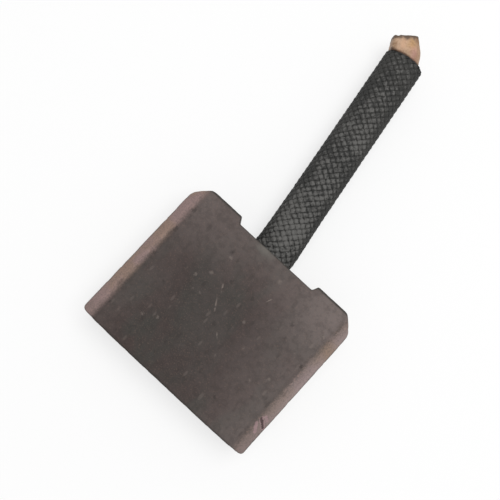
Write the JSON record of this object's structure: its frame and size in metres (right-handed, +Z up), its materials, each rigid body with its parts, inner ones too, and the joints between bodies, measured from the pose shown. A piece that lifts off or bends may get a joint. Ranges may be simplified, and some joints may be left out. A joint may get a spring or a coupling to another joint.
{
  "type": "carbon brush",
  "caption": "Pressed copper-graphite brush block with bevelled long edges and a stepped lead end, and a short sleeved copper rope lead with a welded tip.",
  "frame": {"origin": "centre of the running face, midway through the thickness", "axes": "+Y along the brush from the running face to the lead, +X across its width, +Z up through its thickness; it lies on a broad face"},
  "size_m": [0.019, 0.0395, 0.0058],
  "materials": {
    "copper_graphite": "matt pressed and sintered copper-graphite, grey-brown",
    "copper": "bare annealed copper, dulled",
    "sleeve": "woven glass-fibre sleeving, charcoal"
  },
  "bodies": {
    "root": {"carbon_block": "copper_graphite", "core_strand": "copper", "outer_strand_1": "copper", "outer_strand_2": "copper", "outer_strand_3": "copper", "outer_strand_4": "copper", "outer_strand_5": "copper", "outer_strand_6": "copper", "pressed_slug": "copper", "woven_sleeve": "sleeve"}
  },
  "joints": []
}
